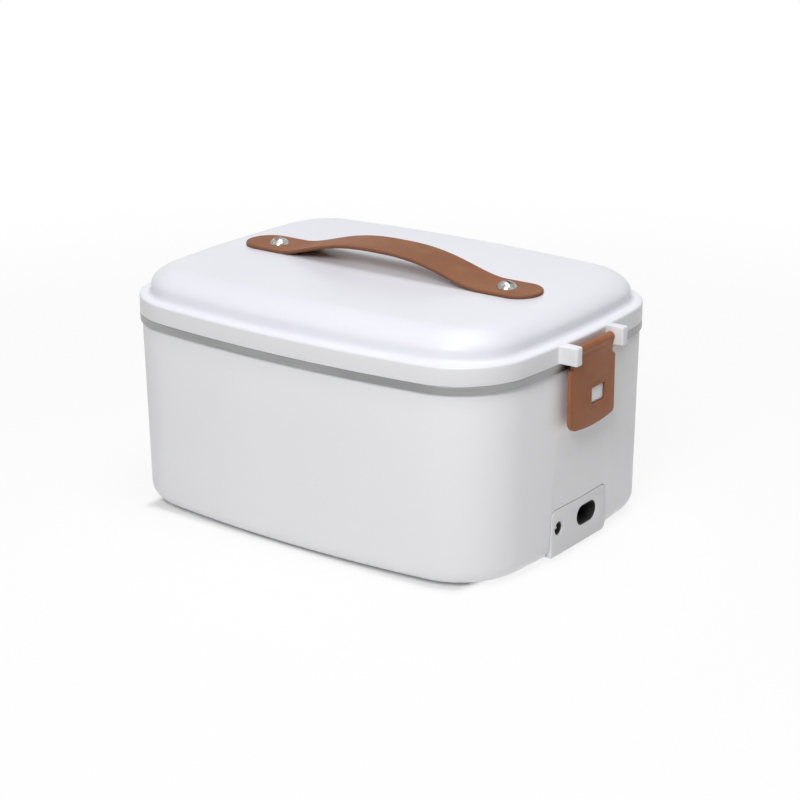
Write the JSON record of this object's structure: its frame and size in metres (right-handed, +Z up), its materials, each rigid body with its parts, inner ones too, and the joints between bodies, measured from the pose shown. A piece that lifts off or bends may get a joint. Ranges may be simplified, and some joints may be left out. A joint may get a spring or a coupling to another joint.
{
  "type": "electric lunch box",
  "caption": "Electric lunch box: white moulded body with a heated well, lift-out steel pot, and a domed lift-off lid with a strap handle and an end latch at each side.",
  "frame": {"origin": "on the table under the middle of the object, at the feet's underside", "axes": "+X along the length, towards the end with the sockets; +Y across, away from the long face that the picture shows; +Z up"},
  "size_m": [0.248, 0.1748, 0.1344],
  "materials": {
    "shell_plastic": "satin white moulding",
    "lid_plastic": "satin white moulding",
    "well_plastic": "matt white moulding",
    "panel_plastic": "light grey moulding",
    "base_plastic": "matt white moulding with fine texture",
    "socket_black": "black moulding",
    "phenolic": "dark phenolic",
    "latch_plastic": "brown moulding with a soft grain",
    "strap_leather": "brown leather look",
    "stud_metal": "polished",
    "pot_steel": "brushed stainless steel",
    "screw_steel": "plated steel",
    "clamp_steel": "sheet steel",
    "contact_metal": "nickel-plated brass",
    "heater_aluminium": "cast and turned aluminium",
    "heater_ceramic": "sleeved ceramic",
    "mat_fibre": "glass fibre mat",
    "wire_sleeve": "silicone-sleeved wire",
    "gasket_silicone": "pale silicone",
    "foot_rubber": "matt black rubber"
  },
  "bodies": {
    "root": {"outer_shell": "shell_plastic", "inner_tub": "well_plastic", "base_plate": "base_plastic", "rubber_feet": "foot_rubber", "base_screws": "screw_steel", "heating_plate": "heater_aluminium", "ptc_heaters": "heater_ceramic", "heater_clamps": "clamp_steel", "heater_screws": "screw_steel", "thermostat": "phenolic", "thermal_fuse": "heater_ceramic", "fuse_clip": "clamp_steel", "insulation_pad": "mat_fibre", "lead_wires": "wire_sleeve", "socket_panel": "panel_plastic", "ac_inlet": "socket_black", "ac_pins": "contact_metal", "inlet_screws": "screw_steel", "dc_jack": "socket_black", "dc_pin": "contact_metal"},
    "pot": {"inner_pot": "pot_steel"},
    "lid": {"lid_shell": "lid_plastic", "lid_liner": "well_plastic", "lid_gasket": "gasket_silicone", "liner_screws": "screw_steel", "handle_strap": "strap_leather", "handle_stud_left": "stud_metal", "handle_stud_right": "stud_metal", "stud_washers": "clamp_steel", "stud_nuts": "clamp_steel", "latch_pin_left": "screw_steel", "latch_pin_right": "screw_steel"},
    "latch_left": {"latch_left": "latch_plastic"},
    "latch_right": {"latch_right": "latch_plastic"}
  },
  "joints": [
    {"name": "pot_lift", "type": "slide", "parent": "root", "child": "pot", "axis": [0, 0, 1], "range_m": [0, 0.12]},
    {"name": "lid_lift", "type": "slide", "parent": "pot", "child": "lid", "axis": [0, 0, 1], "range_m": [0, 0.12]},
    {"name": "latch_right_hinge", "type": "hinge", "parent": "lid", "child": "latch_right", "pos_m": [0.1176, 0, 0.1044], "axis": [0, -1, 0], "range_deg": [0, 120]},
    {"name": "latch_left_hinge", "type": "hinge", "parent": "lid", "child": "latch_left", "pos_m": [-0.1176, 0, 0.1044], "axis": [0, 1, 0], "range_deg": [0, 120]}
  ]
}
